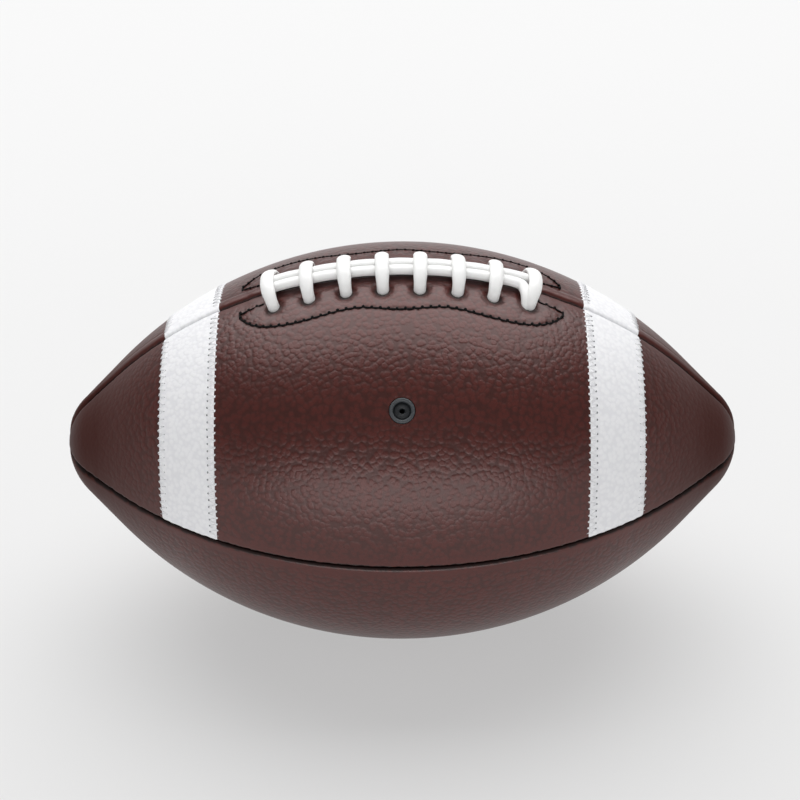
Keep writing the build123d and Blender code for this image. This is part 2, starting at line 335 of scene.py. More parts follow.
# PVC lace: extruded and smooth, with a slight satin gloss and a little light passing through
laceLook = {
    "colour": "#f5f5f4",
    "roughness": 0.38,
    "ior": 1.53,
    "ripple": 6.0,  # mm
    "rippleHeight": 0.1,  # mm
    "glow": 0.1,
    "glowDepth": 2.0,  # mm
}


def makeLacePlastic(name, look):
    material, tree, shader, place = newMaterial(name, look)
    ripples = addNode(tree, "ShaderNodeTexNoise", {"Scale": perMetre(look["ripple"]), "Detail": 2.0},
                      {"Vector": place})
    bump = addNode(tree, "ShaderNodeBump", {"Strength": 0.6, "Distance": look["rippleHeight"] * mm},
                   {"Height": ripples.outputs["Fac"]})
    tree.links.new(bump.outputs["Normal"], shader.inputs["Normal"])
    shader.inputs["Subsurface Weight"].default_value = look["glow"]
    shader.inputs["Subsurface Radius"].default_value = [look["glowDepth"] * mm] * 3
    return material


lacePlastic = makeLacePlastic("satinLacePvc", laceLook)

# twisted thread: spun fibres, waxed or bare, so dull with a fine slanted twist (twist and relief in mm)
threadLooks = {
    "waxedBlackThread": {"colour": "#080606", "roughness": 0.8, "ior": 1.5, "twist": 0.8, "relief": 0.08},
    "whitePolyesterThread": {"colour": "#f1f1f3", "roughness": 0.7, "ior": 1.5, "twist": 0.6, "relief": 0.08},
    "waxedBrownThread": {"colour": "#3b2218", "roughness": 0.5, "ior": 1.5, "twist": 0.8, "relief": 0.08},
}


def makeThread(name, look):
    material, tree, shader, place = newMaterial(name, look)
    shader.inputs["Specular IOR Level"].default_value = 0.2  # the fibres scatter most of the gloss
    wave = addNode(tree, "ShaderNodeTexWave",
                   {"Scale": perMetre(look["twist"]), "Distortion": 1.5, "bands_direction": "DIAGONAL"},
                   {"Vector": place})
    bump = addNode(tree, "ShaderNodeBump", {"Strength": 0.5, "Distance": look["relief"] * mm},
                   {"Height": wave.outputs["Fac"]})
    tree.links.new(bump.outputs["Normal"], shader.inputs["Normal"])
    return material


threads = {name: makeThread(name, look) for name, look in threadLooks.items()}

# moulded rubber: dark and matt, with a fine cast skin (skin and relief in mm)
rubberLooks = {
    "mouldedValveRubber": {"colour": "#3d4043", "roughness": 0.5, "ior": 1.52, "skin": 1.2, "relief": 0.05},
    "mouldedCoreRubber": {"colour": "#0a0f14", "roughness": 0.55, "ior": 1.52, "skin": 1.0, "relief": 0.05},
    "dippedBladderRubber": {"colour": "#2a2827", "roughness": 0.5, "ior": 1.52, "skin": 3.0, "relief": 0.05},
}


def makeRubber(name, look):
    material, tree, shader, place = newMaterial(name, look)
    cast = addNode(tree, "ShaderNodeTexNoise", {"Scale": perMetre(look["skin"]), "Detail": 3.0},
                   {"Vector": place})
    bump = addNode(tree, "ShaderNodeBump", {"Strength": 0.4, "Distance": look["relief"] * mm},
                   {"Height": cast.outputs["Fac"]})
    tree.links.new(bump.outputs["Normal"], shader.inputs["Normal"])
    return material


rubbers = {name: makeRubber(name, look) for name, look in rubberLooks.items()}

# woven lining: plain cotton weave glued to the hide, matt with a fine check (spacing and relief in mm)
liningLook = {"colour": "#c9bda4", "roughness": 0.9, "ior": 1.5, "spacing": 0.6, "relief": 0.1}


def makeWeave(name, look):
    material, tree, shader, place = newMaterial(name, look)
    weave = addNode(tree, "ShaderNodeTexChecker", {"Scale": perMetre(look["spacing"])}, {"Vector": place})
    bump = addNode(tree, "ShaderNodeBump", {"Strength": 0.5, "Distance": look["relief"] * mm},
                   {"Height": weave.outputs["Fac"]})
    tree.links.new(bump.outputs["Normal"], shader.inputs["Normal"])
    return material


liningCloth = makeWeave("wovenCottonLining", liningLook)

# split leather: the rough flesh side of the hide, matt and fibrous; a grey one serves as painted shade in the
# needle holes that prick the paint (fibre and relief in mm)
splitLooks = {
    "splitLeather": {"colour": "#7a5340", "roughness": 0.85, "ior": 1.5, "fibre": 0.7, "relief": 0.15},
    "needleHoleShade": {"colour": "#54585d", "roughness": 0.85, "ior": 1.5, "fibre": 0.7, "relief": 0.15},
}


def makeSplit(name, look):
    material, tree, shader, place = newMaterial(name, look)
    fibres = addNode(tree, "ShaderNodeTexNoise", {"Scale": perMetre(look["fibre"]), "Detail": 5.0},
                     {"Vector": place})
    bump = addNode(tree, "ShaderNodeBump", {"Strength": 0.6, "Distance": look["relief"] * mm},
                   {"Height": fibres.outputs["Fac"]})
    tree.links.new(bump.outputs["Normal"], shader.inputs["Normal"])
    return material


splits = {name: makeSplit(name, look) for name, look in splitLooks.items()}
print("materials made")


def stitchSpots(node):  # middle and direction of each stitch bar in the solids
    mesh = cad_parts[node].data
    bm = bmesh.new()
    bm.from_mesh(mesh)
    bmesh.ops.remove_doubles(bm, verts=bm.verts, dist=1e-6)
    seen = set()
    spots = []
    for start in bm.verts:
        if start in seen:
            continue
        seen.add(start)
        group, queue = [], [start]
        while queue:
            vert = queue.pop()
            group.append(vert.co[:])
            for edge in vert.link_edges:
                other = edge.other_vert(vert)
                if other not in seen:
                    seen.add(other)
                    queue.append(other)
        corners = np.array(group) / mm
        middle = corners.mean(axis=0)
        spots.append((middle, np.linalg.svd(corners - middle)[2][0]))
    bm.free()
    return sorted(spots, key=lambda spot: tuple(spot[0]))


frontStitches = stitchSpots("front_facing_stitching")
rearStitches = stitchSpots("rear_facing_stitching")

# holes of the lace, in two rows of eight, as in the solids (mm)
laceHoles = {"count": 8, "pitch": 15.0, "offset": 11.0}
crossRuns = [(i - (laceHoles["count"] - 1) / 2) * laceHoles["pitch"] for i in range(laceHoles["count"])]

# white stripes, let into the two laced panels (mm)
stripe = {
    "innerEdge": 74.6,  # along the long axis
    "width": 23.2,
    "rise": 0.35,
    "depth": 0.6,
    "edgeRound": 0.7,
    "edgeRings": (0, 0.1, 0.3, 0.6, 1.0),  # shares of the rounding
    "columns": 30,
    "seamRowsLeft": 5,  # rows of the panel at the lower seam that the paint leaves bare
}

# leather pulled by the lace, and the sewn facing under it (mm)
lacedLeather = {
    "dimpleDepth": 1.6,
    "dimpleSize": 3.1,
    "crease": 0.16,
    "creaseCount": 7,  # round each hole
    "creaseRadius": 5.0,
    "creaseSpread": 2.2,
    "pucker": 0.4,
    "puckerPlace": 12.0,
    "puckerSpread": 5.0,
    "pulledTo": 50.0,  # from the middle, where the pull of the lace starts to fade
    "pullEnd": 58.0,
    "slitSink": 0.5,
    "slitFrom": 2.0,
    "slitTo": 8.0,
    "furrow": 0.4,
    "furrowSize": 1.0,
    "facingRise": 0.3,
    "facingTo": 60.0,
    "facingEnd": 66.0,
    "facingInner": 14.0,  # stitches nearer to the seam than this close the ends of the leaf
    "innerPenalty": 8.0,  # so they count as this much further off
    "leafInside": 1.5,  # the rise fades over the line of stitches
    "leafOutside": 0.5,
}


def betweenEnds(run, full, end):  # 1 in the middle of the ball, fading to 0 at both ends
    return ease(-end, -full, run) * ease(-end, -full, -run)


def laceRelief(run, away):
    look = lacedLeather
    height = np.zeros_like(away)
    for holeRun in crossRuns:
        gap = np.hypot(run - holeRun, away - laceHoles["offset"])
        height -= look["dimpleDepth"] * bell(gap, look["dimpleSize"])
        spoke = np.cos(look["creaseCount"] * np.arctan2(run - holeRun, away - laceHoles["offset"]))
        height += look["crease"] * spoke * bell(gap - look["creaseRadius"], look["creaseSpread"])
    pulled = betweenEnds(run, look["pulledTo"], look["pullEnd"])
    between = -np.cos(2 * math.pi * (run - crossRuns[0]) / laceHoles["pitch"])
    height += look["pucker"] * pulled * between * bell(away - look["puckerPlace"], look["puckerSpread"])
    height -= look["slitSink"] * pulled * (1 - ease(look["slitFrom"], look["slitTo"], away))
    # a furrow along the black stitches, and a low rise inside the leaf that they draw
    line = np.array([spot[0] for spot in frontStitches])
    lineAway = np.arctan2(-line[:, 1], line[:, 2] - ball["bellyRadius"])
    lineRun = np.arcsin(line[:, 0] / ball["bellyArc"]) * ball["bellyArc"]
    lineAway = lineAway * meridian(lineRun)[1]
    nearest = np.full(away.shape, 1e3)
    for k in range(len(line)):
        nearest = np.minimum(nearest, np.hypot(run - lineRun[k], away - lineAway[k]))
    height -= look["furrow"] * bell(nearest, look["furrowSize"])
    penalty = look["innerPenalty"] * (lineAway < look["facingInner"])
    leafEdge = np.array([lineAway[np.argmin(np.hypot(lineRun - r, penalty))] for r in run[:, 0]])[:, None]
    inLeaf = betweenEnds(run, look["facingTo"], look["facingEnd"])
    inLeaf = inLeaf * (1 - ease(-look["leafInside"], look["leafOutside"], away - leafEdge))
    height += look["facingRise"] * inLeaf
    return height


# leather panels, each a closed skin with rolled seams and a hem (mm)
panel = {
    "step": 1.2,
    "tip": 0.5,  # left open at the very end of a nose
    "halfGap": 0.2,
    "roll": 1.9,
    "noseRoll": 3.2,
    "noseRollFrom": 0.78,  # share of the way to the nose
    "noseRollTo": 0.98,
    "cover": 1.7,
    "hemDepth": 3.4,
    "hemWidth": 5.6,
    "seamRows": (0, 0.12, 0.3, 0.55, 0.85, 1.2, 1.6, 2.0, 2.6, 3.4, 4.4, 5.6),
    "seamZones": 2.5,  # a panel narrower than this many seam zones draws its rows together
    "innerRows": 12,
    "waveLengths": (7.0, 3.1, 4.7),
    "seamWave": 0.04,
    "seamWaveReach": 2.2,
    "frontSeamWave": 0.13,
    "frontSeamWaveReach": 1.6,
    "grainFrom": 0.8,  # from the seam, where the pebbles start
    "grainTo": 7.0,
    "noseGrain": 0.25,  # the pebbles are stretched flat on the noses
    "noseGrainFrom": 0.6,
    "noseGrainTo": 0.9,
    # dark bands along the seams are dyed edges with painted shade of the groove; dark rings round the lace
    # holes are painted shade (mm)
    "seamDye": 1.5,
    "topSeamDye": 0.6,
    "dyeRagged": 0.3,
    "dyeFade": 0.5,  # share of its width where the dark band starts to thin
    "holeShade": 3.7,
    "holeShadeFade": 0.9,
    "valveHole": 5.3,
    "valveHoleCut": (70.0, 100.0),  # from the ball's long axis
    "valveHoleSides": 72,
    "rimAngle": 50.0,  # degrees
    "valveDish": 0.5,
    "valveDishSize": 1.3,
    "valveHollow": 0.2,
    "valveHollowSize": 11.0,
}

# the turned hem shows as a low ridge along the rear of the top seam, pressed flat under the stripes (mm)
hemRidge = {
    "height": 0.55,
    "width": 6.4,
    "shape": 0.7,
    "groove": 0.4,  # beside it, share of the height
    "grooveSize": 0.8,
    "from": 48.0,  # from the middle, beyond the laces
    "to": 56.0,
    "pressed": 0.85,  # share that the stripe takes away
    "pressOut": 2.0,
    "pressIn": 1.0,
}


def seamRoll(away, roll):  # depth of the rolled edge at this distance from the seam
    inside = np.clip(roll - away, 0, roll)
    return roll - np.sqrt(np.maximum(roll ** 2 - inside ** 2, 0))


def ridgeRelief(run, away, squeeze):
    low, high = runAt(stripe["innerEdge"]), runAt(stripe["innerEdge"] + stripe["width"])
    far = np.abs(run)
    painted = ease(low - hemRidge["pressOut"], low + hemRidge["pressIn"], far)
    painted = painted * ease(-high - hemRidge["pressOut"], -high + hemRidge["pressIn"], -far)
    ridge = hemRidge["height"] * (1 - hemRidge["pressed"] * painted)
    ridge = ridge * ease(hemRidge["from"], hemRidge["to"], far)
    swell = np.sin(math.pi * np.clip(away / hemRidge["width"], 0, 1)) ** hemRidge["shape"]
    groove = hemRidge["groove"] * bell(away - hemRidge["width"], hemRidge["grooveSize"])
    return ridge * (swell * squeeze - groove)


def panelGrid(runs, laced, ridged=False):  # rows across a panel, from its first seam to its second
    r = meridian(runs)[1]
    arc = (r * math.pi / 2 - 2 * panel["halfGap"])[:, None]
    rows = np.array(panel["seamRows"])
    zone = rows[-1]
    squeeze = np.minimum(1, arc / (panel["seamZones"] * zone))
    middleCount = int((ball["bellyRadius"] * math.pi / 2 - 2 * zone) / panel["step"])
    share = np.linspace(0, 1, middleCount + 2)[1:-1]
    near = rows[None, :] * squeeze
    middle = near[:, -1:] + (arc - 2 * near[:, -1:]) * share[None, :]
    away = np.concatenate([near, middle, arc - near[:, ::-1]], axis=1)
    other = arc - away
    run = np.broadcast_to(runs[:, None], away.shape)
    noseShare = np.abs(run) / halfRun
    blunt = ease(panel["noseRollFrom"], panel["noseRollTo"], noseShare[:, :1])
    roll = (panel["roll"] * (1 - blunt) + panel["noseRoll"] * blunt) * squeeze
    height = -seamRoll(away, roll) - seamRoll(other, roll)
    wave = sum(np.sin(run * 2 * math.pi / length + k) for k, length in enumerate(panel["waveLengths"]))
    height += wave * panel["seamWave"] * np.exp(-away / panel["seamWaveReach"]) * squeeze
    height += wave * panel["frontSeamWave"] * np.exp(-other / panel["frontSeamWaveReach"]) * squeeze
    if laced:
        height += laceRelief(run, away)
    if ridged:
        height += ridgeRelief(run, away, squeeze)
    stretched = ease(panel["noseGrainFrom"], panel["noseGrainTo"], noseShare)
    grain = ease(panel["grainFrom"], panel["grainTo"], away)
    grain = grain * ease(panel["grainFrom"], panel["grainTo"], other)
    grain = grain * (panel["noseGrain"] + (1 - panel["noseGrain"]) * (1 - stretched))
    # a dark band along each seam: dyed edge with painted shade of the groove
    ragged = np.array([random.uniform(-panel["dyeRagged"], panel["dyeRagged"]) for _ in runs])[:, None]
    nearDye = (panel["topSeamDye"] if laced else panel["seamDye"]) * squeeze
    farDye = panel["seamDye"] * squeeze
    bare = np.minimum(ease(panel["dyeFade"], 1, away / nearDye + ragged),
                      ease(panel["dyeFade"], 1, other / farDye + ragged))
    dyeAndShade = 1 - bare
    if laced:  # painted shade in the punched holes under the ends of the crosses
        for holeRun in crossRuns:
            gap = np.hypot(run - holeRun, away - laceHoles["offset"])
            dyeAndShade = np.maximum(dyeAndShade, 1 - ease(panel["holeShade"] - panel["holeShadeFade"], panel["holeShade"], gap))
    turn = (panel["halfGap"] + away) / r[:, None]
    return {"run": run, "turn": turn, "away": away, "height": height, "grain": grain, "dyeAndShade": dyeAndShade,
            "arc": arc, "squeeze": squeeze}


# the valve stands halfway between the laces and the front seam
valveAxis = Vector((0, -math.sqrt(0.5), math.sqrt(0.5)))
valveFoot = Vector((0, 0, ball["bellyRadius"]))


def cutHole(piece):  # the valve's hole through a panel
    profile = [(panel["valveHole"], height) for height in panel["valveHoleCut"]]
    points, faces = spun(profile, valveFoot, valveAxis, panel["valveHoleSides"])
    cutter = addPiece("valveCutter", points, faces, pebbledLeather)
    cut = piece.modifiers.new("valveHole", "BOOLEAN")
    cut.operation = "DIFFERENCE"
    cut.object = cutter
    cut.solver = "EXACT"
    graph = bpy.context.evaluated_depsgraph_get()
    mesh = bpy.data.meshes.new_from_object(piece.evaluated_get(graph))
    bm = bmesh.new()
    bm.from_mesh(mesh)
    manySided = [face for face in bm.faces if len(face.verts) > 4]
    bmesh.ops.triangulate(bm, faces=manySided)  # keeps the skin closed in an export
    bm.to_mesh(mesh)
    bm.free()
    mesh.set_sharp_from_angle(angle=math.radians(panel["rimAngle"]))  # the rim of the hole stays crisp
    piece.modifiers.clear()
    piece.data = mesh
    bpy.data.objects.remove(cutter)


def makePanel(name, node, turnFrom, laced, flip, valve=False):
    count = int(2 * halfRun / panel["step"])
    runs = np.linspace(-halfRun + panel["tip"], halfRun - panel["tip"], count)
    grid = panelGrid(runs, laced, laced and flip)
    height, arc = grid["height"], grid["arc"]
    if valve:
        gap = np.hypot(grid["run"], grid["away"] - arc / 2)
        height = height - panel["valveDish"] * bell(gap - panel["valveHole"], panel["valveDishSize"])
        height = height - panel["valveHollow"] * bell(gap, panel["valveHollowSize"])
    # the back of the skin, from the second seam to the first, thicker at its hems
    hem = panel["hemWidth"] * grid["squeeze"]
    share = np.linspace(0, 1, panel["innerRows"])[None, :]
    lining = hem + (arc - 2 * hem) * share
    back = np.concatenate([0 * hem, hem, lining, arc - hem, arc + 0 * hem], axis=1)[:, ::-1]
    backDepth = np.full(back.shape, panel["cover"])
    backDepth[:, :2] = panel["hemDepth"]
    backDepth[:, -2:] = panel["hemDepth"]
    backTurn = (panel["halfGap"] + back) / meridian(runs)[1][:, None]
    outer = onSkin(grid["run"], grid["turn"], height)
    inner = onSkin(np.broadcast_to(runs[:, None], back.shape), backTurn, -backDepth)
    points, faces = loftRings(list(np.concatenate([outer, inner], axis=1)))
    # round to its own quarter of the ball
    points = points - [0, 0, ball["bellyRadius"]]
    if flip:
        points = points * [1, -1, 1]
    cosTurn, sinTurn = math.cos(math.radians(turnFrom)), math.sin(math.radians(turnFrom))
    x, y, z = points.T
    points = np.stack([x, cosTurn * y - sinTurn * z, sinTurn * y + cosTurn * z], axis=1)
    points = points + [0, 0, ball["bellyRadius"]]
    piece = addPiece(name, points, faces, pebbledLeather)
    # the dark edges hold dyed seams and painted shade
    for label, front in (("grain", grid["grain"]), ("edgeDyeAndShade", grid["dyeAndShade"])):
        values = np.concatenate([front, np.zeros(back.shape)], axis=1).ravel().astype(np.float32)
        piece.data.attributes.new(label, "FLOAT", "POINT").data.foreach_set("value", values)
    if valve:
        cutHole(piece)
    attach(piece, "root")
    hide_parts(node)


makePanel("upperFrontLeather", "upper_front_panel", 0, True, False, valve=True)
makePanel("upperRearLeather", "upper_rear_panel", 0, True, True)
makePanel("lowerFrontLeather", "lower_front_panel", 90, False, False)
makePanel("lowerRearLeather", "lower_rear_panel", 180, False, False)
print("panels made")


def makeStripe(name, node, side, flip):
    low, high = runAt(stripe["innerEdge"]), runAt(stripe["innerEdge"] + stripe["width"])
    edge, rings = stripe["edgeRound"], stripe["edgeRings"]
    runs = [low + edge * t for t in rings]
    runs += list(np.linspace(low + edge, high - edge, stripe["columns"] + 2)[1:-1])
    runs += [high - edge * t for t in reversed(rings)]
    runs = np.array(runs)
    grid = panelGrid(runs, False, flip)
    inset = np.clip(np.minimum(runs - low, high - runs) / edge, 0, 1)
    top = stripe["rise"] * np.sqrt(1 - (1 - inset) ** 2)
    outer = onSkin(grid["run"], grid["turn"], grid["height"] + top[:, None])
    inner = onSkin(grid["run"], grid["turn"], grid["height"] - stripe["depth"])
    left = stripe["seamRowsLeft"]
    points, faces = loftRings(list(np.concatenate([outer[:, :-left], inner[:, :-left][:, ::-1]], axis=1)))
    points = points * [side, -1 if flip else 1, 1]
    piece = addPiece(name, points, faces, paintedStripe)
    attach(piece, "root")
    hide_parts(node)


# zigzag thread over both edges of a stripe, with its needle holes (mm)
zigzag = {
    "pitch": 2.9,
    "inside": 2.8,  # reach onto the stripe
    "outside": 0.8,
    "acrossJitter": 0.15,
    "alongJitter": 0.12,
    "radius": 0.34,
    "flat": 0.32,  # its height as a share of its width
    "wideWay": (1, 0.2, 0.2),
    "sides": 6,
    "steps": (0, 0.1, 0.3, 0.5, 0.7, 0.9, 1),
    "endSink": 0.3,
    "climb": (-0.4, 0.5),  # from the stripe's edge, where the thread climbs onto it
    "seamClear": 3.2,
    "hole": 0.44,
    "outerHole": 0.4,  # share of that size at the outer edge
    "holeDepth": 0.12,
    "holeProud": 0.03,
    "holeSides": 8,
}


def zigzagSpots(edgeRun, inward, r):  # where the needle goes in: run, turn and whether it is on the stripe
    length = r * math.pi / 2 - 2 * zigzag["seamClear"]
    count = int(length / zigzag["pitch"])
    spots = []
    for k in range(2 * count + 1):
        away = zigzag["seamClear"] + k * length / (2 * count)
        across = zigzag["inside"] if k % 2 else -zigzag["outside"]
        run = edgeRun + inward * (across + random.uniform(-zigzag["acrossJitter"], zigzag["acrossJitter"]))
        turn = (away + random.uniform(-zigzag["alongJitter"], zigzag["alongJitter"])) / r
        spots.append((run, turn, k % 2))
    return spots


def makeZigzag(label, side, flip):
    parts, holes = [], []
    for edgeX, inward in ((stripe["innerEdge"], 1), (stripe["innerEdge"] + stripe["width"], -1)):
        edgeRun = runAt(edgeX)
        spots = zigzagSpots(edgeRun, inward, float(meridian(edgeRun)[1]))
        for start, end in zip(spots, spots[1:]):
            path = []
            for t in zigzag["steps"]:
                run = start[0] + (end[0] - start[0]) * t
                turn = start[1] + (end[1] - start[1]) * t
                over = stripe["rise"] * float(ease(*zigzag["climb"], inward * (run - edgeRun)))
                sink = zigzag["endSink"] if t in (0, 1) else 0
                path.append(onSkin(run, turn, over - sink))
            upHalf = zigzag["radius"] * zigzag["flat"]
            parts.append(tube(path, zigzag["sides"], zigzag["radius"], upHalf, zigzag["wideWay"]))
        size = zigzag["hole"] * (1 if inward > 0 else zigzag["outerHole"])
        profile = [(size, 0), (size, zigzag["holeDepth"] + zigzag["holeProud"])]
        # each needle hole is a grey disc of painted shade
        for run, turn, onStripe in spots:
            if onStripe:
                foot = onSkin(run, turn, stripe["rise"] - zigzag["holeDepth"])
                outward = onSkin(run, turn, 10.0) - onSkin(run, turn, 0.0)
                holes.append(spun(profile, foot, outward, zigzag["holeSides"]))
    mirror = [side, -1 if flip else 1, 1]
    points, faces = joinParts(parts)
    piece = addPiece(label + "Zigzag", points * mirror, faces, threads["whitePolyesterThread"])
    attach(piece, "root")
    points, faces = joinParts(holes)
    piece = addPiece(label + "NeedleHoles", points * mirror, faces, splits["needleHoleShade"])
    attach(piece, "root")


for panelName, flip in (("front", False), ("rear", True)):
    for sideName, side in (("Left", -1), ("Right", 1)):
        node = panelName + "_" + sideName.lower() + "_stripe"
        makeStripe(panelName + sideName + "Stripe", node, side, flip)
        makeZigzag(panelName + sideName, side, flip)
print("stripes made")

# black stitches of the facing, one bead for each and a knot at its end (mm)
bead = {
    "half": 1.72,
    "stretch": (1.0, 1.08),
    "wobble": 0.08,  # radians
    "radius": 0.44,
    "endRadius": 0.75,  # share at the ends
    "flat": 0.85,  # its height as a share of its width
    "sink": 0.36,
    "endSink": 0.3,
    "axisShare": 0.35,  # the way out points from the long axis, at this share of the stitch's x
    "rings": 9,
    "sides": 8,
    "knot": 0.7,
    "knotOut": 0.4,
}
knotProfile = [(0.3, -0.3), (bead["knot"], 0.1), (0.8 * bead["knot"], 0.5), (0.15, 0.7)]  # radius, height


def makeStitches(name, node, spots):
    parts = []
    ways = np.linspace(-1, 1, bead["rings"])
    swell = bead["radius"] * (bead["endRadius"] + (1 - bead["endRadius"]) * np.cos(ways * math.pi / 2))
    for middle, ahead in spots:
        outward = middle - [middle[0] * bead["axisShare"], 0, ball["bellyRadius"]]
        outward = outward / np.linalg.norm(outward)
        across = np.cross(ahead, outward)
        if across[2] < 0:  # the knots stand on the side of the laces
            ahead, across = -ahead, -across
        wobble = random.uniform(-bead["wobble"], bead["wobble"])
        ahead = ahead * math.cos(wobble) + across * math.sin(wobble)
        length = bead["half"] * random.uniform(*bead["stretch"])
        path = []
        for w in ways:
            path.append(middle + ahead * length * w - outward * (bead["sink"] + bead["endSink"] * w ** 4))
        parts.append(tube(path, bead["sides"], swell, swell * bead["flat"], across))
        knot = middle + ahead * bead["half"] + across * bead["knotOut"] - outward * bead["sink"]
        parts.append(spun(knotProfile, knot, outward, bead["sides"]))
    points, faces = joinParts(parts)
    piece = addPiece(name, points, faces, threads["waxedBlackThread"])
    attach(piece, "root")
    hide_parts(node)


makeStitches("frontFacingStitches", "front_facing_stitching", frontStitches)
makeStitches("rearFacingStitches", "rear_facing_stitching", rearStitches)
print("stitches made")

# lace: one cord in eight crosses over two strands (mm; heights are above the seam line)
lacing = {
    "legOffset": 10.5,
    "crossShape": ((-1.0, -5.0), (-1.0, -1.6), (-0.96, 1.2),  # one half: share of legOffset, height
                   (-0.66, 4.5), (-0.3, 5.9), (0, 5.9)),
    "crossHalfWidth": 2.85,
    "crossHalfHeight": 1.45,
    "legHalfWidth": 2.45,
    "legHalfHeight": 1.95,
    "legFrom": 6.5,  # from the seam, where the flat cross rounds up towards its hole
    "legTo": 10.4,
    "endBow": 0.9,  # the first and the last cross bow outwards
    "lean": 0.35,
    "strandOffset": 2.05,
    "strandHeight": 2.9,
    "rearStrandLift": 0.5,
    "strandHalfWidth": 2.4,
    "strandHalfHeight": 1.95,
    "strandPoints": 50,
    "pressed": 0.12,  # by the crosses
    "strandStart": ((-3.2, -4.0), (-3.0, 0.0)),  # from the first cross: run, height
    "strandRise": -1.8,  # from there it lies at its full height
    "strandStop": 9.0,  # before the last cross, where its end begins
    "frontEnd": ((-5.4, -2.3, 2.9), (-3.9, -3.1, 2.9),  # from the last cross: run, across, height
                 (-2.8, -4.9, 2.6), (-2.1, -7.1, 1.9), (-1.4, -9.4, 0.4), (-1.2, -11, -3)),
    "rearEnd": ((-5, 2.1, 3.4), (-1, 2.2, 3.2), (1.2, 2.2, 1.6), (2.0, 2.2, -0.6), (2.2, 2.2, -4)),
    "twistFrom": 8.0,  # before the last cross, where the front strand turns on edge
    "twistTo": 4.0,
    "sides": 20,
}


def laceSpot(run, offset, height):
    x, r, tilt = meridian(run)
    up = float(r + height * np.cos(tilt)) + ball["bellyRadius"]
    return np.array([float(x + height * np.sin(tilt)), offset, up])


def rounded(points, times):  # cuts the corners of a path, its ends stay
    points = np.asarray(points, float)
    for _ in range(times):
        near = points[:-1] * 0.75 + points[1:] * 0.25
        far = points[:-1] * 0.25 + points[1:] * 0.75
        inner = np.stack([near, far], axis=1).reshape(-1, 3)
        points = np.concatenate([points[:1], inner, points[-1:]])
    return points


def crossPath(run, bow, lean):
    half = list(lacing["crossShape"])
    path = []
    for share, height in half + [(-share, height) for share, height in half[-2::-1]]:
        shift = bow * (1 - share ** 2) + lean * share
        path.append(laceSpot(run + shift, share * lacing["legOffset"], height))
    return rounded(path, 3)


def strandPath(side):
    first, last = crossRuns[0], crossRuns[-1]
    offset = side * lacing["strandOffset"]
    height = lacing["strandHeight"] + lacing["rearStrandLift"] * (side > 0)
    path = [laceSpot(first + run, offset, up) for run, up in lacing["strandStart"]]
    path.append(laceSpot(first + lacing["strandRise"], offset, height))
    for run in np.linspace(first, last - lacing["strandStop"], lacing["strandPoints"]):
        dip = lacing["pressed"] * math.cos(2 * math.pi * (run - first) / laceHoles["pitch"])
        path.append(laceSpot(run, offset, height - dip))
    end = lacing["frontEnd"] if side < 0 else lacing["rearEnd"]  # the front one ends beside the last cross
    path += [laceSpot(last + run, across, up) for run, across, up in end]
    return rounded(path, 2)


def makeLace():
    parts = []
    first, last = crossRuns[0], crossRuns[-1]
    for run in crossRuns:
        bow = lacing["endBow"] * ((run == last) - (run == first))
        tilt = float(meridian(run)[2])
        path = crossPath(run, bow, random.uniform(-lacing["lean"], lacing["lean"]))
        leg = ease(lacing["legFrom"], lacing["legTo"], np.abs(path[:, 1]))
        width = lacing["crossHalfWidth"] * (1 - leg) + lacing["legHalfWidth"] * leg
        height = lacing["crossHalfHeight"] * (1 - leg) + lacing["legHalfHeight"] * leg
        parts.append(tube(path, lacing["sides"], width, height, (math.cos(tilt), 0, -math.sin(tilt))))
    for side in (-1, 1):
        path = strandPath(side)
        sideways = np.tile((0.0, 1.0, 0.0), (len(path), 1))
        if side < 0:
            sideways[:, 0] = ease(last - lacing["twistFrom"], last - lacing["twistTo"], path[:, 0])
        width, height = lacing["strandHalfWidth"], lacing["strandHalfHeight"]
        parts.append(tube(path, lacing["sides"], width, height, sideways))
    points, faces = joinParts(parts)
    piece = addPiece("lace.crossed", points, faces, lacePlastic)
    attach(piece, "root")
    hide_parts("lace")


makeLace()
print("lace made")

# valve: a moulded ring with a sunk middle, and the core with its needle hole (mm)
valve = {
    "radius": 5.1,
    "sink": 0.35,  # below the ball's radius
    "lip": 0.6,
    "lipSteps": 7,
    "recess": 3.6,
    "recessDepth": 1.2,
    "recessFoot": 0.3,  # the wall of the recess draws in this far above its floor
    "overlap": 0.05,
    "core": 3.4,
    "needle": 0.95,
    "coreDish": ((1.25, 0.12), (0.5, 0.25), (0.15, 0.4), (0.0, 0.75)),  # beyond the needle hole, depth
    "length": 12.0,
    "ringSides": 72,
    "coreSides": 48,
}


